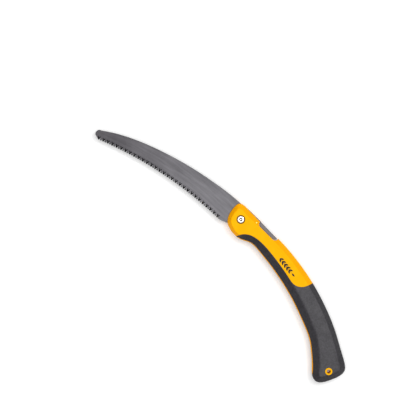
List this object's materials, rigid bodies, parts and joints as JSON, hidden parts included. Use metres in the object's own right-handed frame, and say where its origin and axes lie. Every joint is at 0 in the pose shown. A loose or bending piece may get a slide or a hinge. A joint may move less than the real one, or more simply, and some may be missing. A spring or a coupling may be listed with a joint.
{
  "type": "folding pruning saw",
  "caption": "Folding pruning saw: curved toothed blade on a pivot, two-part handle with soft grips, and a sprung back-lock lever.",
  "frame": {"origin": "middle of the underside of the saw's box, lying on its rear face with the blade open", "axes": "+X towards the blade's tip, +Y towards the side that the teeth face, +Z out of the front face"},
  "size_m": [0.5069, 0.106, 0.022],
  "materials": {
    "blade_steel": "satin grey, impulse-hardened teeth",
    "lever_steel": "dark phosphated",
    "grey_plastic": "matte grey",
    "pin_brass": "turned",
    "pin_steel": "ground",
    "yellow_plastic": "satin moulded, glass-filled nylon",
    "black_rubber": "fine grained soft grip",
    "bright_screw": "polished",
    "zinc_steel": "zinc plated",
    "dark_steel": "blackened",
    "washer_plastic": "low-friction plastic",
    "spring_steel": "drawn wire"
  },
  "bodies": {
    "handle": {"front_shell": "yellow_plastic", "rear_shell": "yellow_plastic", "front_grip": "black_rubber", "rear_grip": "black_rubber", "pivot_screw": "bright_screw", "pivot_nut": "zinc_steel", "pivot_bushing": "pin_steel", "spring_washer": "dark_steel", "front_thrust_washer": "washer_plastic", "rear_thrust_washer": "washer_plastic", "blade_stop_pin": "pin_steel", "lock_spring": "spring_steel", "handle_screw_1": "zinc_steel", "handle_screw_2": "zinc_steel", "handle_screw_3": "zinc_steel", "handle_screw_4": "zinc_steel"},
    "blade": {"blade": "blade_steel"},
    "lock_lever": {"lock_lever": "lever_steel", "thumb_pad": "grey_plastic", "front_lever_pin": "pin_brass", "rear_lever_pin": "pin_brass"}
  },
  "joints": [
    {"name": "blade_fold", "type": "hinge", "parent": "handle", "child": "blade", "pos_m": [0.01321, -0.03347, 0.011], "axis": [0, 0, 1], "range_deg": [0, 155]},
    {"name": "lock_lever_rock", "type": "hinge", "parent": "handle", "child": "lock_lever", "pos_m": [-0.00609, -0.04647, 0.011], "axis": [0, 0, 1], "range_deg": [0, 8], "stiffness_Nm_per_rad": 1.2, "springref_deg": 17.19, "deforming": ["lock_spring"]}
  ]
}
